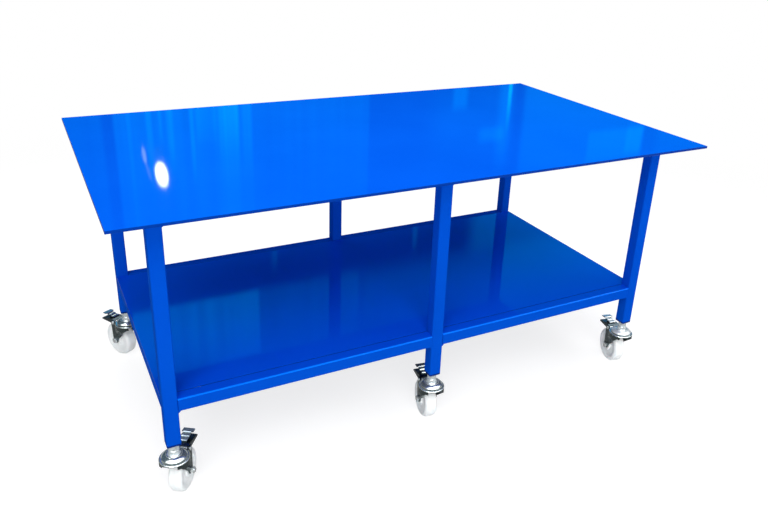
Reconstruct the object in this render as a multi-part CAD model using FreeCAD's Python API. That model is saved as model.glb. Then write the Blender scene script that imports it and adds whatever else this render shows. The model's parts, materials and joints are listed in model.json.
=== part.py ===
import FreeCAD, Part
import math
import os

os.makedirs("parts", exist_ok=True)

# Assembly table: a steel plate on six square tube legs, with a lower shelf,
# standing on six swivel castors with foot brakes.
# Millimetres. X runs along the table, Y from its front to its back, Z up.
# The origin is on the floor, under the middle of the table.

# ---- Driving dimensions: table -------------------------------------------
TABLE_HEIGHT = 895.0
TOP_LENGTH = 1900.0
TOP_WIDTH = 1050.0
TOP_THICKNESS = 8.0
TOP_EDGE_CHAMFER = 0.8

FRAME_LENGTH = 1700.0
FRAME_WIDTH = 850.0
TUBE = 40.0
TUBE_WALL = 3.0
TUBE_CORNER = 4.5

LEG_BOTTOM = 191.0
FOOT_PLATE = 6.0
SHELF_TOP = 341.0  # the shelf sheet lies flush with the long shelf rails
SHELF_SHEET = 2.0
SHELF_GAP = 0.5  # between the shelf sheet and the legs and long rails

# ---- Driving dimensions: castor ------------------------------------------
# A castor is drawn with its swivel axis on Z and its wheel trailing along +X.
WHEEL_RADIUS = 62.5
WHEEL_WIDTH = 40.0
WHEEL_TRAIL = 45.0
WHEEL_HUB_WIDTH = 44.0
WHEEL_HUB_RADIUS = 19.0
WHEEL_HUB_EDGE = 2.0
WHEEL_WEB_WIDTH = 35.0
WHEEL_RIM_DEPTH = 16.0
TREAD_ROUNDING = 10.0
RUNNING_FIT = 0.06  # radial clearance of every turning fit

FORK_HALF_GAP = 23.0
FORK_SHEET = 3.0
CROWN_RADIUS = 42.8
CROWN_BEND = 3.3
CROWN_TOP = 143.0
CROWN_SHEET = 4.0
CROWN_SKIRT = 14.0  # depth of the skirt beside the wheel at the front
SHOULDER_TOP = 125.0
SHOULDER_BOTTOM = 92.0
ARM_WAIST_X = 24.0  # where the front edge of an arm turns up towards the crown
ARM_WAIST_Z = 75.0
AXLE_BOSS_RADIUS = 12.0
EAR_TOP = 141.0
EAR_BACK = 61.0
EAR_BEND = 5.0

KINGPIN_RADIUS = 9.0
KINGPIN_RIVET_RADIUS = 16.0
KINGPIN_RIVET_THICKNESS = 4.0
KINGPIN_END_GAP = 0.4
CAP_RADIUS = 36.0
CAP_SHEET = 3.0
CAP_RIM_BOTTOM = 146.4
CAP_DOME_BOTTOM = 148.4
CAP_SHOULDER_RADIUS = 28.5  # a point half-way down the dome
CAP_SHOULDER_HEIGHT = 154.3
CAP_DOME_TOP = 157.0
CAP_BOSS_RADIUS = 15.5
CAP_BOSS_BEND = 2.0
CAP_TOP = 171.0

STEM_RADIUS = 8.0
STEM_TOP = 212.0
STEM_CHAMFER = 1.5
STEM_NECK_RADIUS = 12.5
STEM_NECK = 1.5
STEM_HEX = 27.0
STEM_HEX_TURN = 30.0  # puts a corner of the hexagon at the front of the castor
HEX_CORNER_CUT = 0.25
HEX_CHAMFER = 0.9

AXLE_RADIUS = 6.0
AXLE_HEX = 18.0
AXLE_HEAD = 7.5
AXLE_NUT = 10.0
AXLE_END = 3.0
SLEEVE_RADIUS = 7.5

PEDAL_PIVOT_X = 50.0
PEDAL_PIVOT_Z = 134.0
PEDAL_PIN_RADIUS = 4.0
PEDAL_PIN_HEAD = 2.5
PEDAL_PIN_FLANGE = 2.0
PEDAL_BOSS_RADIUS = 6.5
PEDAL_HALF_WIDTH = 22.0
PEDAL_SHEET = 3.0
PEDAL_TIP = 118.0
PEDAL_TIP_TOP = 134.0
PEDAL_TIP_BEND = 6.0
PEDAL_TIP_DEPTH = 8.0
PEDAL_NECK_RUN = 8.0  # from the pivot to where the main plate levels out
PEDAL_NECK_RISE = 10.0
PEDAL_SKIRT = 4.0  # depth of the side walls below the pivot
STEP_COUNT = 3
STEP_PITCH = 17.0
STEP_CLIMB = 1.5  # each crest lies this much above the last
STEP_DIP = 2.5  # fall of the tread from a crest to the next riser
RISER_RUN = 1.5
CREST_BEVEL = 2.2  # run and rise of the bevel along each crest
FIRST_RISER_X = 62.0
FIRST_CREST_Z = 149.5
TREAD_HALF_WIDTH = 12.0
TREAD_WEB_END = 84.0  # the tread stands on the main plate as far as this
TAB_HALF_WIDTH = 17.0
SHOE_NEAR = 4.0  # the shoe's reach behind the pivot
SHOE_FAR = 16.0
SHOE_DEPTH = 12.0
SHOE_HALF_WIDTH = 12.0
SHOE_CLEARANCE = 4.0
SHOE_TOP_FALL = 1.0

# Which way each castor trails, in degrees from +X, as the table stands.
CASTOR_HEADINGS = {
    "front_left": 56.0,
    "front_middle": 80.0,
    "front_right": 76.0,
    "back_left": 119.0,
    "back_middle": 98.0,
    "back_right": 70.0,
}

# ---- Worked out from the driving dimensions ------------------------------
TOP_UNDERSIDE = TABLE_HEIGHT - TOP_THICKNESS
HALF_TUBE = TUBE / 2
END_X = FRAME_LENGTH / 2 - HALF_TUBE
SIDE_Y = FRAME_WIDTH / 2 - HALF_TUBE
LEG_X = {"left": -END_X, "middle": 0.0, "right": END_X}
LEG_Y = {"front": -SIDE_Y, "back": SIDE_Y}
LONG_RAIL_TOP = {"shelf": SHELF_TOP, "top": TOP_UNDERSIDE}
CROSS_RAIL_TOP = {"shelf": SHELF_TOP - SHELF_SHEET, "top": TOP_UNDERSIDE}
CROWN_UNDERSIDE = CROWN_TOP - CROWN_SHEET
FORK_HALF_WIDTH = FORK_HALF_GAP + FORK_SHEET
ARC_DIP = 1 - math.sqrt(0.5)  # a quarter arc's middle is this share of its radius inside its corner

UP = FreeCAD.Vector(0, 0, 1)
ALONG = FreeCAD.Vector(1, 0, 0)
ACROSS = FreeCAD.Vector(0, 1, 0)
ORIGIN = FreeCAD.Vector(0, 0, 0)


# ---- Shapes ---------------------------------------------------------------
def box(low, high):
    """A box between two corners."""
    size = [b - a for a, b in zip(low, high)]
    return Part.makeBox(size[0], size[1], size[2], FreeCAD.Vector(*low))


def rounded_bar(low, high, direction, corner):
    """A box whose four edges along a direction are rounded."""
    bar = box(low, high)
    long_edges = []
    for edge in bar.Edges:
        if abs(edge.tangentAt(0).dot(direction)) > 0.99:
            long_edges.append(edge)
    return bar.makeFillet(corner, long_edges)


def square_tube(centre, direction, start, end):
    """A hollow square tube along X, Y or Z through a centre line point."""
    outer_low, outer_high, inner_low, inner_high = [], [], [], []
    for place, along in zip(centre, direction):
        if along:
            outer_low.append(start)
            outer_high.append(end)
            inner_low.append(start)
            inner_high.append(end)
        else:
            outer_low.append(place - HALF_TUBE)
            outer_high.append(place + HALF_TUBE)
            inner_low.append(place - HALF_TUBE + TUBE_WALL)
            inner_high.append(place + HALF_TUBE - TUBE_WALL)
    outer = rounded_bar(outer_low, outer_high, direction, TUBE_CORNER)
    inner = rounded_bar(inner_low, inner_high, direction, TUBE_CORNER - TUBE_WALL)
    return outer.cut(inner)


def cylinder(radius, start, end, centre, direction):
    """A cylinder on an axis, between two stations along the axis."""
    base = centre + direction * start
    return Part.makeCylinder(radius, end - start, base, direction)


def hexagon(across_flats, start, end, centre, direction):
    """A hexagonal prism on an axis, with its corners turned off slightly."""
    corner_radius = across_flats / math.sqrt(3)
    points = []
    for corner in range(7):
        angle = math.radians(60 * corner)
        points.append(FreeCAD.Vector(math.cos(angle), math.sin(angle), 0) * corner_radius)
    prism = Part.Face(Part.makePolygon(points)).extrude(UP * (end - start))
    turned = cylinder(corner_radius - HEX_CORNER_CUT, 0, end - start, ORIGIN, UP)
    turned = turned.makeChamfer(HEX_CHAMFER, [edge for edge in turned.Edges if edge.Closed])
    prism = prism.common(turned)
    prism.Placement = FreeCAD.Placement(centre + direction * start, FreeCAD.Rotation(UP, direction))
    return prism


def outline(steps, plane_point):
    """A closed face from a list of steps: a point, or an arc's middle and end point."""
    edges = []
    here = plane_point(*steps[0])
    first = here
    for step in steps[1:]:
        if isinstance(step[0], tuple):
            middle, end = plane_point(*step[0]), plane_point(*step[1])
            edges.append(Part.Arc(here, middle, end).toShape())
        else:
            end = plane_point(*step)
            edges.append(Part.LineSegment(here, end).toShape())
        here = end
    if not here.isEqual(first, 1e-6):
        edges.append(Part.LineSegment(here, first).toShape())
    return Part.Face(Part.Wire(edges))


def quarter_arc(corner, radius, toward_middle, end):
    """An arc step that rounds a corner: its middle lies towards the inside of the corner."""
    dip = radius * ARC_DIP
    middle = (corner[0] + toward_middle[0] * dip, corner[1] + toward_middle[1] * dip)
    return (middle, end)


def side_prism(steps, half_width):
    """An outline in the castor's side view (X, Z), extruded across it."""
    face = outline(steps, lambda x, z: FreeCAD.Vector(x, -half_width, z))
    return face.extrude(ACROSS * (2 * half_width))


def front_prism(steps, back, front):
    """An outline in the castor's front view (Y, Z), extruded along X."""
    face = outline(steps, lambda y, z: FreeCAD.Vector(back, y, z))
    return face.extrude(ALONG * (front - back))


def turned_body(steps):
    """An outline of radii and heights, turned about Z."""
    face = outline(steps, lambda radius, z: FreeCAD.Vector(radius, 0, z))
    return face.revolve(ORIGIN, UP, 360)


# ---- Table ----------------------------------------------------------------
def make_table_top():
    plate = box(
        (-TOP_LENGTH / 2, -TOP_WIDTH / 2, TOP_UNDERSIDE),
        (TOP_LENGTH / 2, TOP_WIDTH / 2, TABLE_HEIGHT),
    )
    return plate.makeChamfer(TOP_EDGE_CHAMFER, plate.Edges)


def make_legs():
    legs = {}
    for row, y in LEG_Y.items():
        for column, x in LEG_X.items():
            centre = (x, y, 0)
            bottom = LEG_BOTTOM + FOOT_PLATE
            legs[f"leg_{row}_{column}"] = square_tube(centre, UP, bottom, TOP_UNDERSIDE)
    return legs


def make_rails():
    """Rails round the shelf and under the top, and one across the middle of each."""
    rails = {}
    inner_x = END_X - HALF_TUBE
    inner_y = SIDE_Y - HALF_TUBE
    for level, top in LONG_RAIL_TOP.items():
        for row, y in LEG_Y.items():
            centre = (0, y, top - HALF_TUBE)
            rails[f"{level}_rail_{row}_left"] = square_tube(centre, ALONG, -inner_x, -HALF_TUBE)
            rails[f"{level}_rail_{row}_right"] = square_tube(centre, ALONG, HALF_TUBE, inner_x)
    for level, top in CROSS_RAIL_TOP.items():
        for column, x in LEG_X.items():
            name = f"{level}_rail_middle" if column == "middle" else f"{level}_rail_end_{column}"
            rails[name] = square_tube((x, 0, top - HALF_TUBE), ACROSS, -inner_y, inner_y)
    return rails


def make_shelf_panel():
    """Sheet that rests on the cross rails and lies between the long ones."""
    half_width = FRAME_WIDTH / 2 - TUBE - SHELF_GAP
    return box(
        (-FRAME_LENGTH / 2, -half_width, SHELF_TOP - SHELF_SHEET),
        (FRAME_LENGTH / 2, half_width, SHELF_TOP),
    )


def make_foot_plates():
    """One plate welded across the foot of each leg, bored for the castor stem."""
    plates = []
    for y in LEG_Y.values():
        for x in LEG_X.values():
            low = (x - HALF_TUBE, y - HALF_TUBE, LEG_BOTTOM)
            high = (x + HALF_TUBE, y + HALF_TUBE, LEG_BOTTOM + FOOT_PLATE)
            plate = rounded_bar(low, high, UP, TUBE_CORNER)
            axis_point = FreeCAD.Vector(x, y, 0)
            hole = cylinder(STEM_RADIUS, LEG_BOTTOM, LEG_BOTTOM + FOOT_PLATE, axis_point, UP)
            plates.append(plate.cut(hole))
    return Part.Compound(plates)


# ---- Castor ---------------------------------------------------------------
AXLE_POINT = FreeCAD.Vector(WHEEL_TRAIL, 0, WHEEL_RADIUS)
PEDAL_PIVOT = FreeCAD.Vector(PEDAL_PIVOT_X, 0, PEDAL_PIVOT_Z)


def make_stem():
    """Threaded stem with a hexagon between the leg and the bearing cap."""
    stud = cylinder(STEM_RADIUS, CAP_TOP, STEM_TOP, ORIGIN, UP)
    end_rim = [edge for edge in stud.Edges if edge.Closed and edge.CenterOfMass.z > LEG_BOTTOM]
    stud = stud.makeChamfer(STEM_CHAMFER, end_rim)
    neck_top = CAP_TOP + STEM_NECK
    neck = cylinder(STEM_NECK_RADIUS, CAP_TOP, neck_top, ORIGIN, UP)
    collar = hexagon(STEM_HEX, neck_top, LEG_BOTTOM, ORIGIN, UP)
    collar.rotate(ORIGIN, UP, STEM_HEX_TURN)
    return stud.fuse([neck, collar]).removeSplitter()


def make_head():
    """Domed bearing cap with the kingpin riveted under the fork crown."""
    boss, bend = CAP_BOSS_RADIUS, CAP_BOSS_BEND
    inner_rim = CAP_RADIUS - CAP_SHEET
    inner_dome_top = CAP_DOME_TOP - CAP_SHEET
    rivet, rivet_bend = KINGPIN_RIVET_RADIUS, KINGPIN_RIVET_THICKNESS
    rivet_top = CROWN_UNDERSIDE - KINGPIN_END_GAP
    rivet_bottom = rivet_top - KINGPIN_RIVET_THICKNESS
    return turned_body([
        (0, CAP_TOP),
        (boss - bend, CAP_TOP),
        quarter_arc((boss, CAP_TOP), bend, (-1, -1), (boss, CAP_TOP - bend)),
        (boss, CAP_DOME_TOP + bend),
        quarter_arc((boss, CAP_DOME_TOP), bend, (1, 1), (boss + bend, CAP_DOME_TOP)),
        ((CAP_SHOULDER_RADIUS, CAP_SHOULDER_HEIGHT), (CAP_RADIUS, CAP_DOME_BOTTOM)),
        (CAP_RADIUS, CAP_RIM_BOTTOM),
        (inner_rim, CAP_RIM_BOTTOM),
        (inner_rim - CAP_SHEET, CAP_DOME_BOTTOM),
        (boss, inner_dome_top),
        (KINGPIN_RADIUS, inner_dome_top - CAP_BOSS_BEND),
        (KINGPIN_RADIUS, rivet_top),
        (rivet, rivet_top),
        quarter_arc((rivet, rivet_bottom), rivet_bend, (-1, 1), (rivet - rivet_bend, rivet_bottom)),
        (0, rivet_bottom),
    ])


def fork_side_steps():
    """Side view of the fork: crown, ears, and arms whose front edges slope from the crown to the axle."""
    back = WHEEL_TRAIL + AXLE_BOSS_RADIUS
    front = WHEEL_TRAIL - AXLE_BOSS_RADIUS
    foot = WHEEL_RADIUS - AXLE_BOSS_RADIUS
    skirt_bottom = CROWN_TOP - CROWN_SKIRT
    slope_top = ARM_WAIST_X - (skirt_bottom - ARM_WAIST_Z)
    ear_corner = (EAR_BACK, CROWN_TOP)
    return [
        (-CROWN_RADIUS, CROWN_TOP),
        (EAR_BACK - EAR_BEND, CROWN_TOP),
        quarter_arc(ear_corner, EAR_BEND, (-1, -1), (EAR_BACK, CROWN_TOP - EAR_BEND)),
        (EAR_BACK, PEDAL_PIVOT_Z - AXLE_BOSS_RADIUS),
        (back, WHEEL_RADIUS),
        ((WHEEL_TRAIL, foot), (front, WHEEL_RADIUS)),
        (ARM_WAIST_X, ARM_WAIST_Z),
        (slope_top, skirt_bottom),
        (-CROWN_RADIUS, skirt_bottom),
    ]


def shell_section(half_crown, half_arm, top, shoulder_top, shoulder_bottom):
    """Front view of one skin of the fork: wide crown, sloping shoulders, straight arms."""
    foot = WHEEL_RADIUS - 2 * AXLE_BOSS_RADIUS
    return [
        (-half_crown, top),
        (half_crown, top),
        (half_crown, shoulder_top),
        (half_arm, shoulder_bottom),
        (half_arm, foot),
        (-half_arm, foot),
        (-half_arm, shoulder_bottom),
        (-half_crown, shoulder_top),
    ]


def make_fork():
    """Pressed fork: a round crown, open over the wheel, whose skirt narrows at the shoulders to two arms."""
    foot = WHEEL_RADIUS - 2 * AXLE_BOSS_RADIUS
    above = 2 * EAR_TOP
    behind = 2 * EAR_BACK
    before = -2 * CROWN_RADIUS
    edge_start = CROWN_TOP - CROWN_BEND
    edge_end = (CROWN_RADIUS - CROWN_BEND, CROWN_TOP)
    crown_body = turned_body([
        (0, foot),
        (CROWN_RADIUS, foot),
        (CROWN_RADIUS, edge_start),
        quarter_arc((CROWN_RADIUS, CROWN_TOP), CROWN_BEND, (-1, -1), edge_end),
        (0, CROWN_TOP),
    ])
    arms = box((0, -FORK_HALF_WIDTH, foot), (EAR_BACK, FORK_HALF_WIDTH, EAR_TOP))
    skin = crown_body.fuse(arms)
    skin = skin.common(side_prism(fork_side_steps(), CROWN_RADIUS))
    outer_section = shell_section(CROWN_RADIUS, FORK_HALF_WIDTH, CROWN_TOP, SHOULDER_TOP, SHOULDER_BOTTOM)
    skin = skin.common(front_prism(outer_section, -CROWN_RADIUS, EAR_BACK))

    inner_radius = CROWN_RADIUS - FORK_SHEET
    slope = (SHOULDER_TOP - SHOULDER_BOTTOM) / (CROWN_RADIUS - FORK_HALF_WIDTH)
    rise = FORK_SHEET * (math.hypot(1, slope) - slope)
    inner_section = shell_section(
        inner_radius, FORK_HALF_GAP, above, SHOULDER_TOP + rise, SHOULDER_BOTTOM + rise)
    passage = box((before, -FORK_HALF_GAP, foot), (behind, FORK_HALF_GAP, above))
    passage = passage.cut(cylinder(CROWN_RADIUS, CROWN_UNDERSIDE, above, ORIGIN, UP))
    hollow = cylinder(inner_radius, foot, CROWN_UNDERSIDE, ORIGIN, UP).fuse(passage)
    hollow = hollow.common(front_prism(inner_section, before, behind))

    fork = skin.cut(hollow)
    king_bore = cylinder(KINGPIN_RADIUS + RUNNING_FIT, foot, above, ORIGIN, UP)
    reach = 2 * FORK_HALF_WIDTH
    axle_bore = cylinder(AXLE_RADIUS, -reach, reach, AXLE_POINT, ACROSS)
    pivot_bore = cylinder(PEDAL_PIN_RADIUS, -reach, reach, PEDAL_PIVOT, ACROSS)
    return fork.cut([king_bore, axle_bore, pivot_bore])


def make_axle():
    """Axle bolt, its nut, the sleeve the wheel turns on, and the brake pedal's pin."""
    head_end = FORK_HALF_WIDTH + AXLE_HEAD
    nut_end = FORK_HALF_WIDTH + AXLE_NUT
    shank = cylinder(AXLE_RADIUS, -nut_end - AXLE_END, FORK_HALF_WIDTH, AXLE_POINT, ACROSS)
    head = hexagon(AXLE_HEX, FORK_HALF_WIDTH, head_end, AXLE_POINT, ACROSS)
    bolt = shank.fuse(head).removeSplitter()
    nut = hexagon(AXLE_HEX, -nut_end, -FORK_HALF_WIDTH, AXLE_POINT, ACROSS)
    nut = nut.cut(cylinder(AXLE_RADIUS, -nut_end, -FORK_HALF_WIDTH, AXLE_POINT, ACROSS))
    sleeve = cylinder(SLEEVE_RADIUS, -FORK_HALF_GAP, FORK_HALF_GAP, AXLE_POINT, ACROSS)
    sleeve = sleeve.cut(cylinder(AXLE_RADIUS, -FORK_HALF_GAP, FORK_HALF_GAP, AXLE_POINT, ACROSS))

    pin_end = FORK_HALF_WIDTH + PEDAL_PIN_HEAD
    pin = cylinder(PEDAL_PIN_RADIUS, -pin_end, pin_end, PEDAL_PIVOT, ACROSS)
    for start, end in ((-pin_end, -FORK_HALF_WIDTH), (FORK_HALF_WIDTH, pin_end)):
        rivet = cylinder(PEDAL_PIN_RADIUS + PEDAL_PIN_FLANGE, start, end, PEDAL_PIVOT, ACROSS)
        outer_rim = []
        for edge in rivet.Edges:
            if edge.Closed and abs(edge.CenterOfMass.y) > FORK_HALF_WIDTH + PEDAL_PIN_HEAD / 2:
                outer_rim.append(edge)
        pin = pin.fuse(rivet.makeFillet(PEDAL_PIN_HEAD / 2, outer_rim))
    return Part.Compound([bolt, nut, sleeve, pin.removeSplitter()])


def make_wheel():
    """Solid wheel with a rounded tread, a shallow dished web and a raised hub."""
    half_tread = WHEEL_WIDTH / 2
    half_web = WHEEL_WEB_WIDTH / 2
    half_hub = WHEEL_HUB_WIDTH / 2
    bore = SLEEVE_RADIUS + RUNNING_FIT
    hub, edge = WHEEL_HUB_RADIUS, WHEEL_HUB_EDGE
    rim_inner = WHEEL_RADIUS - WHEEL_RIM_DEPTH
    rim_rise = half_tread - half_web
    tread_edge = half_tread - TREAD_ROUNDING
    half_wheel = turned_body([
        (bore, 0),
        (bore, half_hub),
        (hub - edge, half_hub),
        (hub, half_hub - edge),
        (hub + edge, half_web),
        (rim_inner - rim_rise, half_web),
        (rim_inner, half_tread),
        (WHEEL_RADIUS - TREAD_ROUNDING, half_tread),
        quarter_arc((WHEEL_RADIUS, half_tread), TREAD_ROUNDING, (-1, -1), (WHEEL_RADIUS, tread_edge)),
        (WHEEL_RADIUS, 0),
    ])
    wheel = half_wheel.fuse(half_wheel.mirror(ORIGIN, UP)).removeSplitter()
    wheel.Placement = FreeCAD.Placement(AXLE_POINT, FreeCAD.Rotation(UP, ACROSS))
    return wheel


def pedal_channel():
    """The pedal's main plate with its side walls, open below."""
    pivot_x, pivot_z = PEDAL_PIVOT_X, PEDAL_PIVOT_Z
    sheet, boss, bend = PEDAL_SHEET, PEDAL_BOSS_RADIUS, PEDAL_TIP_BEND
    neck_x, neck_z = pivot_x + PEDAL_NECK_RUN, pivot_z + PEDAL_NECK_RISE
    tip_start = PEDAL_TIP - bend
    tip_bottom = PEDAL_TIP_TOP - PEDAL_TIP_DEPTH
    skirt_z = pivot_z - PEDAL_SKIRT
    round_end = math.sqrt(0.5) * boss
    tip_corner = (PEDAL_TIP, PEDAL_TIP_TOP)
    channel = side_prism([
        (pivot_x - boss, pivot_z),
        ((pivot_x - round_end, pivot_z + round_end), (pivot_x, pivot_z + boss)),
        (neck_x, neck_z),
        (tip_start, PEDAL_TIP_TOP),
        quarter_arc(tip_corner, bend, (-1, -1), (PEDAL_TIP, PEDAL_TIP_TOP - bend)),
        (PEDAL_TIP, tip_bottom),
        (PEDAL_TIP - sheet, tip_bottom),
        (tip_start - 2 * bend, skirt_z - PEDAL_SKIRT),
        (pivot_x + 2 * boss, skirt_z - PEDAL_SKIRT),
        (pivot_x, pivot_z - boss),
        ((pivot_x - round_end, pivot_z - round_end), (pivot_x - boss, pivot_z)),
    ], PEDAL_HALF_WIDTH)
    front, below, above = pivot_x - 2 * boss, pivot_z - 3 * boss, pivot_z + 2 * boss
    hollow = side_prism([
        (front, above),
        (pivot_x, above),
        (pivot_x, pivot_z + boss - sheet),
        (neck_x, neck_z - sheet),
        (tip_start, PEDAL_TIP_TOP - sheet),
        (PEDAL_TIP - sheet, PEDAL_TIP_TOP - bend),
        (PEDAL_TIP - sheet, below),
        (front, below),
    ], PEDAL_HALF_WIDTH - sheet)
    return channel.cut(hollow)


def pedal_tread():
    """Foot tread: short bevelled risers and long dips, ending in a wide flat tab."""
    neck_z = PEDAL_PIVOT_Z + PEDAL_NECK_RISE
    upper = []
    for step in range(STEP_COUNT):
        riser_x = FIRST_RISER_X + step * STEP_PITCH
        crest_z = FIRST_CREST_Z + step * STEP_CLIMB
        valley_z = neck_z if step == 0 else crest_z - STEP_CLIMB - STEP_DIP
        upper.append((riser_x, valley_z))
        upper.append((riser_x + RISER_RUN, crest_z - CREST_BEVEL))
        upper.append((riser_x + RISER_RUN + CREST_BEVEL, crest_z))
    tab_start, tab_top = upper[-1]
    tab_end, tab_low = tab_start + STEP_PITCH, tab_top - STEP_CLIMB
    upper.append((tab_end, tab_low))
    lower = [(x, z - PEDAL_SHEET) for x, z in reversed(upper) if x > TREAD_WEB_END]
    web = [(TREAD_WEB_END, lower[-1][1]), (TREAD_WEB_END, PEDAL_TIP_TOP), (FIRST_RISER_X, PEDAL_TIP_TOP)]
    tread = side_prism(upper + lower + web, TREAD_HALF_WIDTH)
    tab = side_prism([
        (tab_start, tab_top),
        (tab_end, tab_low),
        (tab_end, tab_low - PEDAL_SHEET),
        (tab_start, tab_top - PEDAL_SHEET),
    ], TAB_HALF_WIDTH)
    return tread.fuse(tab)


def pedal_shoe():
    """Block behind the pivot that stops just short of the wheel."""
    near, far = PEDAL_PIVOT_X + SHOE_NEAR, PEDAL_PIVOT_X + SHOE_FAR
    bottom, top = PEDAL_PIVOT_Z - SHOE_DEPTH, PEDAL_PIVOT_Z + PEDAL_BOSS_RADIUS
    block = side_prism([
        (near, bottom),
        (far, bottom),
        (far, top),
        (near, top - SHOE_TOP_FALL),
    ], SHOE_HALF_WIDTH)
    reach = WHEEL_RADIUS + SHOE_CLEARANCE
    return block.cut(cylinder(reach, -WHEEL_WIDTH, WHEEL_WIDTH, AXLE_POINT, ACROSS))


def make_pedal():
    """Brake pedal: a channel on the pivot pin, a stepped foot tread and a brake shoe."""
    pedal = pedal_channel().fuse([pedal_tread(), pedal_shoe()]).removeSplitter()
    bore = cylinder(PEDAL_PIN_RADIUS + RUNNING_FIT, -WHEEL_WIDTH, WHEEL_WIDTH, PEDAL_PIVOT, ACROSS)
    return pedal.cut(bore)


def make_castors():
    """Six castors, each turned to its heading and set under its leg."""
    makers = {
        "stem": make_stem,
        "head": make_head,
        "fork": make_fork,
        "axle": make_axle,
        "wheel": make_wheel,
        "pedal": make_pedal,
    }
    patterns = {piece: maker() for piece, maker in makers.items()}
    pieces = {}
    for row, y in LEG_Y.items():
        for column, x in LEG_X.items():
            corner = f"{row}_{column}"
            for piece, pattern in patterns.items():
                shape = pattern.copy()
                shape.rotate(ORIGIN, UP, CASTOR_HEADINGS[corner])
                shape.translate(FreeCAD.Vector(x, y, 0))
                pieces[f"castor_{corner}_{piece}"] = shape
    return pieces


def main():
    nodes = {
        "table_top": make_table_top(),
        "shelf_panel": make_shelf_panel(),
        "leg_foot_plates": make_foot_plates(),
    }
    nodes.update(make_legs())
    nodes.update(make_rails())
    nodes.update(make_castors())
    for name, shape in nodes.items():
        if not shape.isValid():
            print(f"{name} is not valid")
        shape.exportStep(f"parts/{name}.step")
    print(f"{len(nodes)} nodes written")


main()
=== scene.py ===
import json
import math

import bmesh
import bpy
from mathutils import Matrix, Vector, noise


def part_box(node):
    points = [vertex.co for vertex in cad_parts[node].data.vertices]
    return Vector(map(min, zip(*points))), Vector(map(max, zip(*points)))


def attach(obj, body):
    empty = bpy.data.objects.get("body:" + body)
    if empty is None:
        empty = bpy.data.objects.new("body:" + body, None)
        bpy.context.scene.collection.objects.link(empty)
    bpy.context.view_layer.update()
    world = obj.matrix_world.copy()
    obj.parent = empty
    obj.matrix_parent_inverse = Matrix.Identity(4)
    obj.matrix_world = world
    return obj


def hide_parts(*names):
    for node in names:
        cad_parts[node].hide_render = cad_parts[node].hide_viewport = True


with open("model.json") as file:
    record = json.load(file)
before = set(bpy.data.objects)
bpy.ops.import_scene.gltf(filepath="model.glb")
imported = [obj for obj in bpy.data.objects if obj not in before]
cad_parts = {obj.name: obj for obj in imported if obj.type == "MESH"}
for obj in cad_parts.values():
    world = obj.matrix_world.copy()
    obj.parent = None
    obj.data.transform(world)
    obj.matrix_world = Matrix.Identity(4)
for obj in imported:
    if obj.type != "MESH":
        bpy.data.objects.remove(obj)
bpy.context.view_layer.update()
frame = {"nodes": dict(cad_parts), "record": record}
NODES = frame["nodes"]
CORNERS = [f"{row}_{column}" for row in ("front", "back") for column in ("left", "middle", "right")]

# ---- The photographed view -----------------------------------------------------
# One camera fitted to the table's straight edges: pixels, metres and unit vectors.
FRAME_WIDTH_PX, FRAME_HEIGHT_PX = 768, 526
FOCAL_PX = 734.955
CENTRE_X_PX, CENTRE_Y_PX = 399.242, 221.666
SENSOR_MM = 36.0
CAMERA_PLACE = (-1.08594, -2.13480, 1.55633)
VIEW_RIGHT = Vector((0.88550092, -0.46300972, 0.03886035))
VIEW_DOWN = Vector((-0.1444826, -0.35387799, -0.92406447))
VIEW_AHEAD = Vector((0.44160265, 0.81264529, -0.38025614))


# ---- Node helpers ----------------------------------------------------------------
def colour(red, green, blue):
    return (red, green, blue, 1.0)


WHITE = colour(1, 1, 1)


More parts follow.
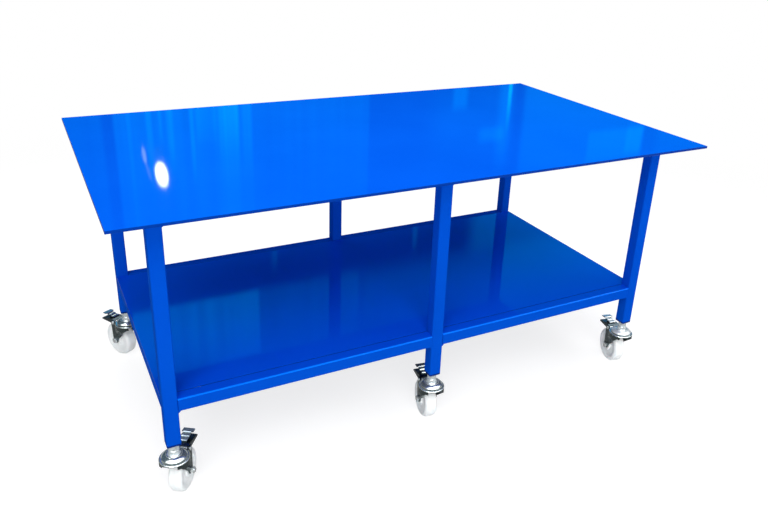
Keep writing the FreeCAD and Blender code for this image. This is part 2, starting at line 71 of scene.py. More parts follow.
class Tree:
    """Adds shader nodes to a material or world, wiring inputs by name."""

    def __init__(self, owner):
        owner.use_nodes = True
        self.tree = owner.node_tree
        self.tree.nodes.clear()

    def add(self, kind, settings=None, **inputs):
        """A new node. An input goes by its name, with _ for a space, or by i and its number."""
        made = self.tree.nodes.new(kind)
        for key, value in (settings or {}).items():
            setattr(made, key, value)
        for key, value in inputs.items():
            self.put(made, key.replace("_", " "), value)
        return made

    def put(self, made, key, value):
        """Links another node's output to an input, or sets the input to a value."""
        numbered = key[0] == "i" and key[1:].isdigit()
        socket = made.inputs[int(key[1:]) if numbered else key]
        if isinstance(value, bpy.types.NodeSocket):
            self.tree.links.new(value, socket)
        else:
            socket.default_value = value

    def maths(self, operation, first, second=0.0, clamp=False):
        made = self.add("ShaderNodeMath", {"operation": operation, "use_clamp": clamp}, i0=first, i1=second)
        return made.outputs[0]

    def span(self, value, low, high, out_low=0.0, out_high=1.0, smooth=False):
        """A value scaled from one range to another, and held at its ends."""
        made = self.add("ShaderNodeMapRange", {"clamp": True}, Value=value)
        if smooth:
            made.interpolation_type = "SMOOTHSTEP"
        for key, number in (("From Min", low), ("From Max", high), ("To Min", out_low), ("To Max", out_high)):
            self.put(made, key, number)
        return made.outputs[0]

    def window(self, value, low, high, soft):
        """1 between two values and 0 outside them, with soft ends."""
        rising = self.span(value, low - soft, low + soft, smooth=True)
        falling = self.span(value, high + soft, high - soft, smooth=True)
        return self.maths("MULTIPLY", rising, falling)

    def blend(self, factor, first, second):
        made = self.add("ShaderNodeMix", {"data_type": "RGBA", "blend_type": "MIX"})
        for index, value in ((0, factor), (6, first), (7, second)):
            self.put(made, f"i{index}", value)
        return made.outputs[2]

    def speckle(self, where, scale, detail=2.0, stretch=None):
        """Smooth noise from 0 to 1 on object coordinates in metres."""
        if stretch:
            where = self.add("ShaderNodeMapping", Vector=where, Scale=stretch).outputs[0]
        return self.add("ShaderNodeTexNoise", Vector=where, Scale=scale, Detail=detail).outputs[0]

    def bump(self, height, distance, below=None):
        made = self.add("ShaderNodeBump", Height=height, Distance=distance, Strength=1.0)
        if below is not None:
            self.put(made, "Normal", below)
        return made.outputs[0]

    def by_ray(self, seen, mirrored, matt):
        """One shader for the camera, one for mirrors and one for all other rays."""
        path = self.add("ShaderNodeLightPath").outputs
        direct = self.maths("ADD", path["Is Camera Ray"], path["Is Transmission Ray"], clamp=True)
        unseen = self.add("ShaderNodeMixShader", i0=path["Is Glossy Ray"], i1=matt, i2=mirrored)
        return self.add("ShaderNodeMixShader", i0=direct, i1=unseen.outputs[0], i2=seen).outputs[0]


# ---- Materials ---------------------------------------------------------------------
PAINT_TINT = colour(0.02, 0.5, 1.0)
# Heights of bumps, in metres
PEEL_HEIGHT = 0.0000012
DENT_HEIGHT = 0.0002
GRAIN_HEIGHT = 0.000006
RUB_HEIGHT = 0.00003


def start_material(name):
    """A new material, its node tree and its object coordinates."""
    material = bpy.data.materials.new(name)
    t = Tree(material)
    return material, t, t.add("ShaderNodeTexCoord").outputs["Object"]


def make_paint(name, green, blue, roughness, ior=1.3, metallic=0.0, level=0.2, waviness=0.0001):
    """Blue gloss enamel over steel: faint mottling, dust, orange peel and slow waves."""
    material, t, where = start_material(name)
    cloud = t.speckle(where, 2.6, 3.0)
    mottle = t.speckle(where, 45.0, 4.0)
    grime = t.speckle(where, 14.0, 6.0)
    deep = colour(0.0004, green * 0.92, blue * 0.96)
    light = colour(0.0010, green * 1.06, min(1.0, blue * 1.03))
    shade = t.blend(t.span(cloud, 0.3, 0.7), deep, light)
    shade = t.blend(t.span(mottle, 0.4, 0.75, 0.0, 0.08), shade, colour(0.002, green * 1.3, blue))
    rough = t.span(grime, 0.35, 0.75, roughness * 0.9, roughness * 1.35)
    waves = t.bump(t.speckle(where, 6.0, 1.0), waviness)
    peel = t.bump(t.speckle(where, 260.0, 2.0), PEEL_HEIGHT, waves)
    surface = t.add("ShaderNodeBsdfPrincipled", Base_Color=shade, Roughness=rough, Normal=peel, IOR=ior,
                    Metallic=metallic, Specular_IOR_Level=level, Specular_Tint=PAINT_TINT)
    t.add("ShaderNodeOutputMaterial", Surface=surface.outputs[0])
    return material


def make_metal(name, base, roughness, scuffs, metallic=1.0):
    """Plated or bare steel: patches of duller grain, fine scratches, soft dents."""
    material, t, where = start_material(name)
    patch = t.speckle(where, 70.0, 4.0)
    scratches = t.speckle(where, 260.0, 3.0, stretch=(1.0, 1.0, 12.0))
    dull = colour(base[0] * 0.80, base[1] * 0.82, base[2] * 0.86)
    shade = t.blend(t.span(patch, 0.35, 0.7), colour(*base), dull)
    rough = t.maths("ADD", t.span(patch, 0.3, 0.7, roughness * 0.8, roughness * 1.25),
                    t.span(scratches, 0.5, 0.8, 0.0, scuffs))
    dents = t.bump(t.speckle(where, 60.0, 1.0), DENT_HEIGHT)
    fine = t.bump(t.speckle(where, 900.0, 2.0), GRAIN_HEIGHT, dents)
    surface = t.add("ShaderNodeBsdfPrincipled", Base_Color=shade, Roughness=rough, Normal=fine,
                    Metallic=metallic)
    t.add("ShaderNodeOutputMaterial", Surface=surface.outputs[0])
    return material


def make_nylon(name):
    """White nylon: slightly waxy, with rub marks and floor dust."""
    material, t, where = start_material(name)
    cloud = t.speckle(where, 35.0, 3.0)
    rubs = t.speckle(where, 160.0, 5.0)
    clean = colour(0.93, 0.98, 0.98)
    dusty = colour(0.84, 0.90, 0.91)
    shade = t.blend(t.span(cloud, 0.5, 0.85, 0.0, 0.4), clean, dusty)
    shade = t.blend(t.span(rubs, 0.62, 0.8, 0.0, 0.4), shade, dusty)
    rough = t.span(rubs, 0.4, 0.7, 0.30, 0.45)
    surface = t.add("ShaderNodeBsdfPrincipled", Base_Color=shade, Roughness=rough,
                    Normal=t.bump(rubs, RUB_HEIGHT),
                    Subsurface_Weight=0.35, Subsurface_Radius=(0.008, 0.009, 0.009))
    t.add("ShaderNodeOutputMaterial", Surface=surface.outputs[0])
    return material


# One material for each slot of the record
MATERIALS = {
    "top_paint": make_paint("top_paint", 0.097, 0.76, 0.030, ior=1.33, level=0.5, waviness=0.00005),
    "frame_paint": make_paint("frame_paint", 0.071, 0.545, 0.15, metallic=0.12, level=0.0, waviness=0.00012),
    "shelf_paint": make_paint("shelf_paint", 0.080, 0.73, 0.032, ior=1.42, level=0.5, waviness=0.00006),
    "zinc": make_metal("zinc", (0.90, 0.96, 0.95), 0.18, 0.05, metallic=0.66),
    "zinc_pressing": make_metal("zinc_pressing", (0.135, 0.170, 0.172), 0.22, 0.08),
    "fastener_zinc": make_metal("fastener_zinc", (0.86, 0.90, 0.89), 0.22, 0.05, metallic=0.8),
    "brake_steel": make_metal("brake_steel", (0.085, 0.11, 0.12), 0.24, 0.08),
    "nylon": make_nylon("nylon"),
}
# Painted light and shade on some faces of a node: painted shade, a painted highlight, and lit or shaded
# copies of the zinc as painted reflections
# Painted shade: a darker copy of the blue paint for the plate's cut edges
EDGE_SHADE_PAINT = make_paint("edge_painted_shade", 0.032, 0.28, 0.35)
# Painted highlight: a lighter, glossier copy of the paint for the front rails' top arris
ARRIS_HIGHLIGHT_PAINT = make_paint("arris_painted_highlight", 0.145, 0.90, 0.14, ior=1.45, level=0.6, waviness=0.00005)
SHADED_PAINT = make_paint("shaded_paint", 0.018, 0.16, 0.45)
# Painted shade: a dark copy of the blue paint for the shelf's underside
UNDERSIDE_SHADE_PAINT = make_paint("underside_painted_shade", 0.030, 0.14, 0.40, level=0.3)
# Painted highlight: a bright copy of the zinc for the fork crown's top ring
CROWN_HIGHLIGHT_ZINC = make_metal("zinc_painted_highlight", (0.84, 0.92, 0.90), 0.18, 0.05, metallic=0.8)
# Partly a real polish, partly painted shade: a darker, more mirror-like copy of the zinc for caps, treads and
# one crown
MIRROR_SHADED_ZINC = make_metal("mirror_zinc_painted_shade", (0.64, 0.70, 0.67), 0.15, 0.05, metallic=0.86)
# Painted light: a paler, lit copy of the zinc for one castor's cap and treads
SATIN_LIT_ZINC = make_metal("satin_zinc_painted_light", (0.90, 0.93, 0.92), 0.34, 0.06, metallic=0.55)
# Painted reflection: a slate copy of the steel for one castor's treads
TREAD_REFLECTION_STEEL = make_metal("tread_steel_painted_reflection", (0.52, 0.64, 0.72), 0.24, 0.08, metallic=0.40)

# ---- Finishes on the CAD nodes -------------------------------------------------------
# The parts of a face's unit normal that tell one kind of face from another
PLATE_FACE_LEVEL = 0.9
SHEET_FACE_LEVEL = 0.5
RAIL_TOP_LEVEL = 0.97
FRONT_ARRIS_FORWARD, FRONT_ARRIS_UP = 0.2, 0.3
BACK_ARRIS_BACKWARD, BACK_ARRIS_UP = 0.2, 0.1
CROWN_LEAST_UP = 0.25
TREAD_LEAST_UP = 0.68
# Places on a castor in its own frame, in metres
CAP_DOME_TOP_Z = 0.1569
CROWN_EDGE_Z = 0.1392
CROWN_FACE_RADIUS = 0.0430
TREAD_LOWEST_Z = 0.1450
TREAD_HALF_WIDTH = 0.0175
# The photograph shows each castor catching the room differently, so some finishes go by castor.
# Painted reflections: lit and shaded copies of the zinc, chosen castor by castor
CAP_PAINTED_REFLECTIONS = {"front_right": SATIN_LIT_ZINC}
CROWN_PAINTED_REFLECTIONS = {"back_left": MIRROR_SHADED_ZINC}
TREAD_PAINTED_REFLECTIONS = {"front_left": TREAD_REFLECTION_STEEL, "front_right": SATIN_LIT_ZINC}


def middle(node):
    """The middle of a CAD node's box."""
    low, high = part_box(node)
    return (low + high) / 2


def castor_frame(corner):
    """The castor's own frame: swivel axis on Z, wheel trailing along +X."""
    swivel = middle(f"castor_{corner}_head")
    trail = middle(f"castor_{corner}_wheel") - swivel
    turn = Matrix.Rotation(math.atan2(trail.y, trail.x), 4, "Z")
    return Matrix.Translation((swivel.x, swivel.y, 0.0)) @ turn


def paint_nodes():
    """Gives every CAD node the material of its slot."""
    for subpart in frame["record"]["subparts"]:
        mesh = NODES[subpart["node"]].data
        mesh.materials.clear()
        mesh.materials.append(MATERIALS[subpart["material_slot"]])


def refinish(node, finish, wanted, to_local=Matrix()):
    """Gives another finish to the faces of a node for which wanted(centre, normal) is true."""
    mesh = NODES[node].data
    mesh.materials.append(finish)
    turn = to_local.to_3x3()
    for face in mesh.polygons:
        if wanted(to_local @ face.center, turn @ face.normal):
            face.material_index = len(mesh.materials) - 1


def is_rail_top(centre, normal):
    return normal.z > RAIL_TOP_LEVEL


def is_front_arris(centre, normal):
    return normal.y < -FRONT_ARRIS_FORWARD and normal.z > FRONT_ARRIS_UP


def is_back_arris(centre, normal):
    return normal.y > BACK_ARRIS_BACKWARD and normal.z > BACK_ARRIS_UP


def is_cap_face(centre, normal):
    return centre.z < CAP_DOME_TOP_Z


def is_crown_face(centre, normal):
    on_crown = centre.z > CROWN_EDGE_Z and centre.xy.length < CROWN_FACE_RADIUS
    return on_crown and normal.z > CROWN_LEAST_UP


def is_tread_face(centre, normal):
    on_tread = centre.z > TREAD_LOWEST_Z and abs(centre.y) < TREAD_HALF_WIDTH
    return on_tread and normal.z > TREAD_LEAST_UP


def refinish_table():
    """Painted light and shade: the frame's paint on the plate's underside, painted shade on its cut edges, on
    the shelf's underside and on the foot plates, on the front rails a lighter top (painted light) and a
    painted highlight on the front arris, and on all long rails painted shade on the back arris.
    """
    refinish("table_top", MATERIALS["frame_paint"], lambda centre, normal: normal.z < -PLATE_FACE_LEVEL)
    refinish("table_top", EDGE_SHADE_PAINT, lambda centre, normal: abs(normal.z) < PLATE_FACE_LEVEL)
    # painted shade on the shelf's underside
    refinish("shelf_panel", UNDERSIDE_SHADE_PAINT, lambda centre, normal: normal.z < -SHEET_FACE_LEVEL)
    # Painted shade: the foot plates all in the dark shaded paint, a dark line at the legs' bottoms
    refinish("leg_foot_plates", SHADED_PAINT, lambda centre, normal: True)
    for half in ("left", "right"):
        # Painted light: the rails' top faces take the shelf's lighter paint
        refinish(f"shelf_rail_front_{half}", MATERIALS["shelf_paint"], is_rail_top)
        # painted highlight along the front rails' rounded top front edge
        refinish(f"shelf_rail_front_{half}", ARRIS_HIGHLIGHT_PAINT, is_front_arris)
        # Painted shade: the rails' back top arrises in the dark shaded paint, dark lines along the shelf's
        # seams and back edge
        refinish(f"shelf_rail_front_{half}", SHADED_PAINT, is_back_arris)
        refinish(f"shelf_rail_back_{half}", SHADED_PAINT, is_back_arris)


def refinish_castor(corner, place):
    """The cap, crown and pedal treads in other zinc finishes: partly a real polish, partly painted highlights
    and reflections, chosen castor by castor.
    """
    to_castor = place.inverted()
    cap = CAP_PAINTED_REFLECTIONS.get(corner, MIRROR_SHADED_ZINC)
    crown = CROWN_PAINTED_REFLECTIONS.get(corner, CROWN_HIGHLIGHT_ZINC)
    tread = TREAD_PAINTED_REFLECTIONS.get(corner, MIRROR_SHADED_ZINC)
    refinish(f"castor_{corner}_head", cap, is_cap_face, to_castor)
    refinish(f"castor_{corner}_fork", crown, is_crown_face, to_castor)
    refinish(f"castor_{corner}_pedal", tread, is_tread_face, to_castor)


# ---- Added pieces: helpers -----------------------------------------------------------
SHARP_ANGLE = math.radians(32)


def add_piece(name, shape, slot, body, material=None):
    """Turns a bmesh into a smooth-shaded piece with creases, riding on a body."""
    shape.normal_update()
    for edge in shape.edges:
        if len(edge.link_faces) == 2 and edge.calc_face_angle() > SHARP_ANGLE:
            edge.smooth = False
    for face in shape.faces:
        face.smooth = True
    mesh = bpy.data.meshes.new(name)
    shape.to_mesh(mesh)
    shape.free()
    mesh.materials.append(material or MATERIALS[slot])
    piece = bpy.data.objects.new(name, mesh)
    bpy.context.scene.collection.objects.link(piece)
    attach(piece, body)
    return piece


def arc(centre, radius, start, end, steps):
    """Points of an arc in degrees, ends included, as (radius, height) pairs."""
    points = []
    for step in range(steps + 1):
        angle = math.radians(start + (end - start) * step / steps)
        points.append((centre[0] + radius * math.cos(angle), centre[1] + radius * math.sin(angle)))
    return points


def join_rings(shape, rings, closed=False):
    """Faces from ring to ring of vertices: round to the first ring, or with a cap on each end."""
    following = rings[1:] + rings[:1] if closed else rings[1:]
    for here, after in zip(rings, following):
        for index in range(len(here)):
            other = (index + 1) % len(here)
            shape.faces.new((here[index], after[index], after[other], here[other]))
    if not closed:
        shape.faces.new(rings[0])
        shape.faces.new(list(reversed(rings[-1])))
    bmesh.ops.recalc_face_normals(shape, faces=shape.faces)


def turned(shape, profile, place, segments):
    """Revolves a closed profile of (radius, height) millimetres about the place's Z axis."""
    rings = []
    for segment in range(segments):
        angle = 2 * math.pi * segment / segments
        across, along = math.cos(angle) / 1000, math.sin(angle) / 1000
        ring = [shape.verts.new(place @ Vector((r * across, r * along, h / 1000))) for r, h in profile]
        rings.append(ring)
    join_rings(shape, rings, closed=True)


# ---- Welds of the table, and painted shade in the shelf's seams, in metres -------------
SHELF_BEAD, TOP_BEAD = 0.0062, 0.0048
BEAD_STEP = 0.0010
BEAD_LEAST_STEPS = 6
BEAD_INSET = 0.0014
BEAD_ROOT = 0.0018           # the weld's root lies this far inside the corner
BEAD_POINTS = 5              # across the weld's face
BEAD_HOLLOW = 0.16
BEAD_PITCH = 0.0042
BEAD_RIPPLE = 0.09
BEAD_UNEVENNESS = 0.22
BEAD_NOISE_SCALE = 160
BEAD_END_SIZE = 0.7          # share of the full size at the bead's ends
BEAD_END_GROWTH = 0.5


def bead(shape, start, end, first_out, second_out, size):
    """A rippled fillet of weld in the corner between two faces."""
    start, end = Vector(start), Vector(end)
    first_out, second_out = Vector(first_out), Vector(second_out)
    length = (end - start).length
    count = max(BEAD_LEAST_STEPS, round(length / BEAD_STEP))
    rings = []
    for index in range(count + 1):
        travel = length * index / count
        centre = start.lerp(end, index / count)
        wave = BEAD_RIPPLE * math.sin(2 * math.pi * travel / BEAD_PITCH)
        swell = 1 + wave + BEAD_UNEVENNESS * noise.noise(centre * BEAD_NOISE_SCALE)
        from_end = min(travel, length - travel)
        reach = size * swell * min(1.0, BEAD_END_SIZE + from_end / size * BEAD_END_GROWTH)
        ring = [shape.verts.new(centre - (first_out + second_out) * BEAD_ROOT)]
        for step in range(BEAD_POINTS):
            angle = math.pi / 2 * step / (BEAD_POINTS - 1)
            away = reach * (1 - BEAD_HOLLOW * math.sin(2 * angle))
            side = first_out * (away * math.cos(angle))
            ring.append(shape.verts.new(centre + side + second_out * (away * math.sin(angle))))
        rings.append(ring)
    join_rings(shape, rings)


def rail_beads(shape, level, size):
    """The welds under every rail end of one level, where the rail meets its legs."""
    for row in ("front", "back"):
        for half in ("left", "right"):
            low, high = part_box(f"{level}_rail_{row}_{half}")
            y_start, y_end = low.y + BEAD_INSET, high.y - BEAD_INSET
            for x, out in ((low.x, 1), (high.x, -1)):
                bead(shape, (x, y_start, low.z), (x, y_end, low.z), (out, 0, 0), (0, 0, -1), size)
    for name in ("rail_end_left", "rail_middle", "rail_end_right"):
        low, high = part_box(f"{level}_{name}")
        x_start, x_end = low.x + BEAD_INSET, high.x - BEAD_INSET
        for y, out in ((low.y, 1), (high.y, -1)):
            bead(shape, (x_start, y, low.z), (x_end, y, low.z), (0, out, 0), (0, 0, -1), size)


def leg_top_beads(shape, size):
    """Fillets between the plate's underside and the outer faces of the legs."""
    for corner in CORNERS:
        low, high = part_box(f"leg_{corner}")
        row_y, out_y = (low.y, -1) if corner.startswith("front") else (high.y, 1)
        x_start, x_end = low.x + BEAD_INSET, high.x - BEAD_INSET
        bead(shape, (x_start, row_y, high.z), (x_end, row_y, high.z), (0, out_y, 0), (0, 0, -1), size)
        if corner.endswith("middle"):
            continue
        end_x, out_x = (low.x, -1) if corner.endswith("left") else (high.x, 1)
        y_start, y_end = low.y + BEAD_INSET, high.y - BEAD_INSET
        bead(shape, (end_x, y_start, high.z), (end_x, y_end, high.z), (out_x, 0, 0), (0, 0, -1), size)


SEAM_STEP = 0.010
SEAM_UNDER_SHEET = 0.0020
SEAM_INTO_RAIL = 0.0022
SEAM_FRONT_SINK = 0.0026
SEAM_BACK_SINK = 0.0008
SEAM_DEPTH = 0.0012
SEAM_HOLLOW = 0.2            # share of the depth by which its middle lies lower
SEAM_UNEVENNESS = 0.15
SEAM_NOISE_SCALE = 9
SEAM_NOISE_LAYER = 0.5


def shelf_seam_shade_strips(shape):
    """Painted shade in the grooves between the shelf sheet and the long rails: dark strips below the surface.
    """
    low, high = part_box("shelf_panel")
    gap = (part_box("shelf_rail_back_left")[0].y - high.y) / 2
    count = round((high.x - low.x) / SEAM_STEP)
    for y, to_rail, sink in ((low.y - gap, -1, SEAM_FRONT_SINK), (high.y + gap, 1, SEAM_BACK_SINK)):
        inner, outer = y - to_rail * SEAM_UNDER_SHEET, y + to_rail * SEAM_INTO_RAIL
        rings = []
        for index in range(count + 1):
            x = low.x + (high.x - low.x) * index / count
            uneven = noise.noise(Vector((x * SEAM_NOISE_SCALE, y, SEAM_NOISE_LAYER)))
            crown = high.z - sink * (1.0 + SEAM_UNEVENNESS * uneven)
            section = (
                (inner, crown),
                (y, crown - SEAM_HOLLOW * SEAM_DEPTH),
                (outer, crown),
                (outer, crown - SEAM_DEPTH),
                (inner, crown - SEAM_DEPTH),
            )
            rings.append([shape.verts.new((x, *point)) for point in section])
        join_rings(shape, rings)


def build_table_details():
    shelf_welds = bmesh.new()
    rail_beads(shelf_welds, "shelf", SHELF_BEAD)
    add_piece("shelf_frame_welds", shelf_welds, "frame_paint", "table")
    top_welds = bmesh.new()
    rail_beads(top_welds, "top", TOP_BEAD)
    leg_top_beads(top_welds, TOP_BEAD)
    add_piece("top_frame_welds", top_welds, "frame_paint", "table")
    # Painted shade: dark strips in the shelf's seams
    seam_shade = bmesh.new()
    shelf_seam_shade_strips(seam_shade)
    add_piece("shelf_seam_painted_shade", seam_shade, "shelf_paint", "table", SHADED_PAINT)


# ---- Castor details, in millimetres in the castor's own frame ----------------------------
WHEEL_SEGMENTS = 96
RING_SEGMENTS = 72
RING_TURN, RING_STEPS = 330, 11      # round sections stop one step short of their start
LIP_CENTRE, LIP_RADIUS = (35.2, 147.3), 0.95
RIDGE_CENTRE, RIDGE_RADIUS = (22.5, 156.3), 0.8
SEAL_SECTION = [(28.0, 143.3), (33.6, 143.3), (34.2, 144.4), (33.6, 147.2), (28.0, 147.2)]


def wheel_profile():
    """Half of the wheel's section from the bore to the tread, then its mirror image."""
    hub = [(7.56, 21.4), (8.2, 22.0), (9.6, 22.0), (10.0, 21.3), (13.4, 21.3), (13.8, 22.0)]
    hub += arc((17.0, 20.0), 2.0, 90, 0, 5)
    web = arc((21.6, 19.9), 2.6, 180, 270, 5)
    web += [(30.0, 17.3), (30.4, 16.9), (33.6, 16.9), (34.0, 17.3), (41.0, 17.4)]
    bead_edge = [(43.0, 17.9), (45.2, 19.4), (46.8, 19.9), (52.0, 20.0)]
    tread = arc((52.3, 10.0), 10.0, 85, 5, 12)
    mould_line = [(62.35, 6.0), (62.4, 0.55), (62.5, 0.35)]
    side = hub + web + bead_edge + tread + mould_line
    return side + [(radius, -height) for radius, height in reversed(side)]


def build_wheel(corner, place):
    """The moulded wheel, in place of the plain CAD wheel."""
    turn = place.to_3x3().to_4x4() @ Matrix.Rotation(math.radians(-90), 4, "X")
    on_axle = Matrix.Translation(middle(f"castor_{corner}_wheel")) @ turn
    shape = bmesh.new()
    turned(shape, wheel_profile(), on_axle, WHEEL_SEGMENTS)
    piece = add_piece(f"castor_{corner}_nylon_wheel", shape, "nylon", f"{corner}_wheel")
    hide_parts(f"castor_{corner}_wheel")


def build_cap_details(corner, place):
    """The rolled lip of the bearing cap, the ridge pressed into it, and the seal of the ball race."""
    rings = bmesh.new()
    for centre, radius in ((LIP_CENTRE, LIP_RADIUS), (RIDGE_CENTRE, RIDGE_RADIUS)):
        turned(rings, arc(centre, radius, 0, RING_TURN, RING_STEPS), place, RING_SEGMENTS)
    add_piece(f"castor_{corner}_cap_rings", rings, "zinc", "table")
    seal = bmesh.new()
    turned(seal, SEAL_SECTION, place, RING_SEGMENTS)
    add_piece(f"castor_{corner}_race_seal", seal, "brake_steel", "table")


# ---- Room ------------------------------------------------------------------------------
# What the enamel and the zinc mirror: a dim wall behind the table with pale panels and a
# lamp, and a white ceiling on the camera's side. Places on the wall are steps across
# (X / Y) and up (Z / Y) as seen from the table.
WALL_COLOUR = colour(0.0, 0.47, 1.0)
WALL_GROUND = 0.05
ROOM_COLOUR = colour(0.02, 0.5, 1.0)
ROOM_LEVEL = 0.05
LEAST_NORTH = 0.05                        # rays that go less far north than this miss the wall
# Panels: across from and to, up from and to, softness of the sides and of the ends, strength.
WALL_PANELS = (
    # left of the plate, and the broad pale band with its slits
    (0.000, 0.097, 0.18, 0.44, 0.004, 0.06, 0.30),
    (0.112, 0.298, 0.18, 0.44, 0.003, 0.01, 0.62),
    (0.128, 0.133, 0.18, 0.44, 0.002, 0.01, 0.35),
    (0.153, 0.160, 0.18, 0.33, 0.002, 0.03, 0.60),
    (0.169, 0.173, 0.18, 0.29, 0.002, 0.02, 0.55),
    (0.179, 0.188, 0.18, 0.325, 0.003, 0.03, 0.75),
    (0.210, 0.2155, 0.18, 0.34, 0.002, 0.03, 0.70),
    (0.219, 0.248, 0.18, 0.29, 0.003, 0.02, 0.40),
    (0.250, 0.278, 0.18, 0.31, 0.003, 0.05, 0.95),
    (0.250, 0.275, 0.31, 0.44, 0.004, 0.05, 0.30),
    (0.284, 0.297, 0.18, 0.33, 0.003, 0.03, 0.35),
    # the middle of the plate
    (0.298, 0.483, 0.18, 0.44, 0.003, 0.01, 0.36),
    (0.600, 0.735, 0.26, 0.34, 0.030, 0.09, 0.28),
    (0.634, 0.661, 0.18, 0.283, 0.006, 0.01, 0.50),
    (0.690, 0.738, 0.322, 0.345, 0.008, 0.008, 0.50),
    # the bright door edge and the panes on the right
    (0.727, 0.752, 0.22, 0.385, 0.012, 0.04, 0.50),
    (0.7430, 0.7500, 0.18, 0.30, 0.0025, 0.05, 2.00),
    (0.779, 1.300, 0.18, 0.44, 0.012, 0.06, 0.30),
    (0.779, 1.074, 0.18, 0.44, 0.006, 0.06, 0.20),
    (1.112, 1.300, 0.18, 0.44, 0.015, 0.06, 0.20),
    (0.935, 1.073, 0.350, 0.410, 0.006, 0.008, 0.45),
    (1.030, 1.070, 0.350, 0.400, 0.005, 0.008, 0.35),
    # what the shelf mirrors, under the plate
    (0.050, 0.196, 0.545, 0.80, 0.006, 0.006, 1.70),
    (0.196, 0.298, 0.545, 0.66, 0.004, 0.006, 1.80),
    (0.298, 0.470, 0.545, 0.80, 0.006, 0.012, 0.66),
    (0.470, 0.760, 0.550, 0.80, 0.012, 0.025, 0.46),
    (0.321, 0.329, 0.44, 0.51, 0.003, 0.02, 0.60),
    (0.571, 0.579, 0.44, 0.52, 0.003, 0.02, 0.60),
    (0.690, 1.300, 0.460, 0.55, 0.020, 0.02, 0.75),
    (0.760, 1.300, 0.550, 0.80, 0.006, 0.02, 1.18),
)
# The lamp and two faint streaks beside it: middle across and up, half widths, lean, strength.
LAMPS = (
    (0.1672, 0.339, 0.0080, 0.0175, 0.10, 14.0),
    (0.1466, 0.309, 0.0025, 0.0120, 0.08, 1.1),
    (0.1505, 0.333, 0.0020, 0.0120, 0.20, 0.36),
)
LAMP_RIM, LAMP_CORE = 1.5, 0.4            # squares of the distance in half widths
STRIPE_SCALE = 70.0
STRIPE_NOISE = (0.32, 0.70)
STRIPE_DEPTH = 0.16
# Changes of level: from and to, and the levels there. Up and north are parts of the ray's
# unit direction, and away is the distance from the table's middle in metres.
WALL_FADE_WITH_RISE = (0.58, 0.735, 1.0, 0.20)
STRIPE_FADE_ACROSS = (0.45, 0.60, 1.0, 0.2)
HORIZON_WITH_UP = (0.02, 0.07, 0.9, 0.0)
CEILING_WITH_UP = (0.45, 0.65, 0.30, 3.2)
CEILING_WITH_NORTH = (0.15, -0.05, 0.0, 1.0)
PLAIN_WITH_NORTH = (-0.2, 0.4, 0.25, 0.06)
BACKDROP_WITH_AWAY = (1.6, 4.0, 0.0, 1.0)
# Painted shadow: the floor as mirrors see it is darker near the table
MIRRORED_FLOOR_SHADOW_WITH_AWAY = (1.0, 2.8, 0.30, 1.0)
FLOOR_HALF = 30.0
FLOOR_GLOW = 0.76
FLOOR_SHADOW_SHARE = colour(0.40, 0.40, 0.40)
# Soft lamps: place, target, width and height, power, and whether mirrors show them. The
# two low ones would show in the plate as hard white blocks when it is seen from behind.
SOFTBOXES = {
    "overhead": ((0.3, 0.3, 3.3), (0.0, 0.0, 0.9), (4.0, 2.4), 88.0, True),
    "key": ((-1.9, -3.4, 4.2), (0.0, -0.2, 0.3), (4.2, 2.4), 165.0, True),
    "fill": ((-2.4, -4.7, 1.4), (0.0, 0.0, 0.4), (3.6, 1.6), 92.0, False),
    "side": ((3.4, -2.8, 0.9), (0.0, -0.3, 0.1), (2.4, 1.2), 40.0, False),
}


def make_floor_white():
    """A pale matt floor that takes a faint shadow and turns to pure white further away; as mirrors see it, a
    painted shadow darkens it near the table.
    """
    material, t, where = start_material("floor_white")
    away = t.add("ShaderNodeVectorMath", {"operation": "LENGTH"}, i0=where).outputs["Value"]
    pale = t.blend(t.speckle(where, 3.0, 2.0), colour(0.83, 0.83, 0.83), colour(0.85, 0.85, 0.85))
    matt = t.add("ShaderNodeBsdfDiffuse", Color=pale)
    faint = t.add("ShaderNodeBsdfDiffuse", Color=FLOOR_SHADOW_SHARE)
    glow = t.add("ShaderNodeEmission", Color=WHITE, Strength=FLOOR_GLOW)
    near = t.add("ShaderNodeAddShader", i0=faint.outputs[0], i1=glow.outputs[0])
    far = t.add("ShaderNodeEmission", Color=WHITE, Strength=1.0)
    seen = t.add("ShaderNodeMixShader", i0=t.span(away, *BACKDROP_WITH_AWAY, smooth=True),
                 i1=near.outputs[0], i2=far.outputs[0])
    # painted shadow: the mirrored floor dims near the table
    level = t.span(away, *MIRRORED_FLOOR_SHADOW_WITH_AWAY, smooth=True)
    mirrored = t.add("ShaderNodeEmission", Color=WHITE, Strength=level)
    surface = t.by_ray(seen.outputs[0], mirrored.outputs[0], matt.outputs[0])
    t.add("ShaderNodeOutputMaterial", Surface=surface)
    return material


def make_floor():
    half = FLOOR_HALF
    mesh = bpy.data.meshes.new("floor")
    corners = [(-half, -half, 0), (half, -half, 0), (half, half, 0), (-half, half, 0)]
    mesh.from_pydata(corners, [], [(0, 1, 2, 3)])
    mesh.materials.append(make_floor_white())
    floor = bpy.data.objects.new("floor", mesh)
    bpy.context.scene.collection.objects.link(floor)


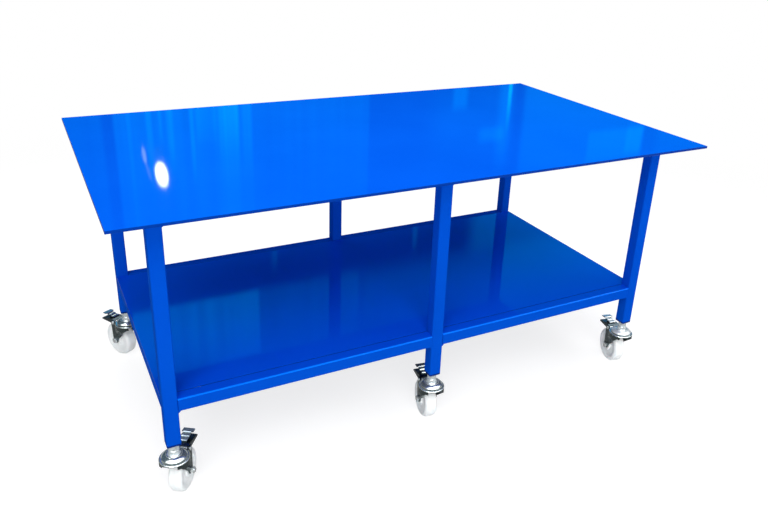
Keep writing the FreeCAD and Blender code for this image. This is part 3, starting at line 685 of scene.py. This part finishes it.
def wall_light(t, across, rise, ahead):
    """The wall: panels that fade high up and have faint stripes, over a dim ground."""
    total = 0.0
    for left, right, low, high, side_soft, end_soft, level in WALL_PANELS:
        sides = t.window(across, left, right, side_soft)
        patch = t.maths("MULTIPLY", sides, t.window(rise, low, high, end_soft))
        total = t.maths("ADD", t.maths("MULTIPLY", patch, level), total)
    lit = t.maths("MULTIPLY", total, ahead)
    lit = t.maths("MULTIPLY", lit, t.span(rise, *WALL_FADE_WITH_RISE, smooth=True))
    waver = t.add("ShaderNodeTexNoise", {"noise_dimensions": "1D"}, W=across, Scale=STRIPE_SCALE, Detail=3.0)
    ripple = t.span(waver.outputs[0], *STRIPE_NOISE, -STRIPE_DEPTH, STRIPE_DEPTH)
    ripple = t.maths("MULTIPLY", ripple, t.span(across, *STRIPE_FADE_ACROSS))
    striped = t.maths("MULTIPLY", lit, t.maths("ADD", ripple, 1.0))
    return t.maths("ADD", striped, t.maths("MULTIPLY", ahead, WALL_GROUND))


def lamp_light(t, across, rise, ahead):
    """The lamp and its streaks: leaning ovals with soft rims."""
    total = 0.0
    for centre, height, half_width, half_height, lean, level in LAMPS:
        above = t.maths("SUBTRACT", rise, height)
        beside = t.maths("SUBTRACT", t.maths("SUBTRACT", across, centre), t.maths("MULTIPLY", above, lean))
        aside = t.maths("DIVIDE", beside, half_width)
        over = t.maths("DIVIDE", above, half_height)
        away = t.maths("ADD", t.maths("MULTIPLY", aside, aside), t.maths("MULTIPLY", over, over))
        total = t.maths("ADD", t.span(away, LAMP_RIM, LAMP_CORE, 0.0, level, smooth=True), total)
    return t.maths("MULTIPLY", total, ahead)


def pale_light(t, north, up):
    """A pale horizon all round, and the ceiling on the camera's side."""
    horizon = t.span(up, *HORIZON_WITH_UP, smooth=True)
    front = t.span(north, *CEILING_WITH_NORTH, smooth=True)
    ceiling = t.maths("MULTIPLY", t.span(up, *CEILING_WITH_UP, smooth=True), front)
    return t.maths("ADD", horizon, ceiling)


def make_world():
    """White for the camera, the room for mirrors, and a plain dim light for all other rays."""
    world = bpy.data.worlds.new("studio")
    bpy.context.scene.world = world
    t = Tree(world)
    direction = t.add("ShaderNodeTexCoord").outputs["Generated"]
    apart = t.add("ShaderNodeSeparateXYZ", Vector=direction)
    east, north, up = apart.outputs[0], apart.outputs[1], apart.outputs[2]
    ahead = t.maths("GREATER_THAN", north, LEAST_NORTH)
    depth = t.maths("MAXIMUM", north, LEAST_NORTH)
    across = t.maths("DIVIDE", east, depth)
    rise = t.maths("DIVIDE", up, depth)
    bright = t.maths("ADD", lamp_light(t, across, rise, ahead), pale_light(t, north, up))
    room = t.add("ShaderNodeBackground", Color=ROOM_COLOUR, Strength=ROOM_LEVEL)
    wall = t.add("ShaderNodeBackground", Color=WALL_COLOUR, Strength=wall_light(t, across, rise, ahead))
    lamps = t.add("ShaderNodeBackground", Color=WHITE, Strength=bright)
    mirrored = t.add("ShaderNodeAddShader", i0=room.outputs[0], i1=wall.outputs[0])
    mirrored = t.add("ShaderNodeAddShader", i0=mirrored.outputs[0], i1=lamps.outputs[0])
    plain = t.add("ShaderNodeBackground", Color=WHITE, Strength=t.span(north, *PLAIN_WITH_NORTH))
    white = t.add("ShaderNodeBackground", Color=WHITE, Strength=1.0)
    surface = t.by_ray(white.outputs[0], mirrored.outputs[0], plain.outputs[0])
    t.add("ShaderNodeOutputWorld", Surface=surface)


def make_softbox(name, place, target, size, power, in_mirrors):
    lamp = bpy.data.lights.new(name, "AREA")
    lamp.shape = "RECTANGLE"
    lamp.size, lamp.size_y = size
    lamp.energy = power
    box = bpy.data.objects.new(name, lamp)
    bpy.context.scene.collection.objects.link(box)
    box.location = place
    box.rotation_euler = (Vector(target) - Vector(place)).to_track_quat("-Z", "Y").to_euler()
    box.visible_glossy = in_mirrors


def make_camera():
    lens = bpy.data.cameras.new("camera")
    lens.sensor_fit = "HORIZONTAL"
    lens.sensor_width = SENSOR_MM
    lens.lens = SENSOR_MM * FOCAL_PX / FRAME_WIDTH_PX
    lens.shift_x = (FRAME_WIDTH_PX / 2 - CENTRE_X_PX) / FRAME_WIDTH_PX
    lens.shift_y = (CENTRE_Y_PX - FRAME_HEIGHT_PX / 2) / FRAME_WIDTH_PX
    camera = bpy.data.objects.new("camera", lens)
    bpy.context.scene.collection.objects.link(camera)
    turn = Matrix((VIEW_RIGHT, -VIEW_DOWN, -VIEW_AHEAD)).transposed().to_4x4()
    camera.matrix_world = Matrix.Translation(CAMERA_PLACE) @ turn
    bpy.context.scene.camera = camera


# ---- The scene -----------------------------------------------------------------------------
castor_frames = {corner: castor_frame(corner) for corner in CORNERS}
paint_nodes()
refinish_table()
for corner, place in castor_frames.items():
    refinish_castor(corner, place)
build_table_details()
for corner, place in castor_frames.items():
    build_wheel(corner, place)
    build_cap_details(corner, place)
make_floor()
make_world()
for name, settings in SOFTBOXES.items():
    make_softbox(name, *settings)
make_camera()
bpy.context.scene.view_settings.view_transform = "Standard"
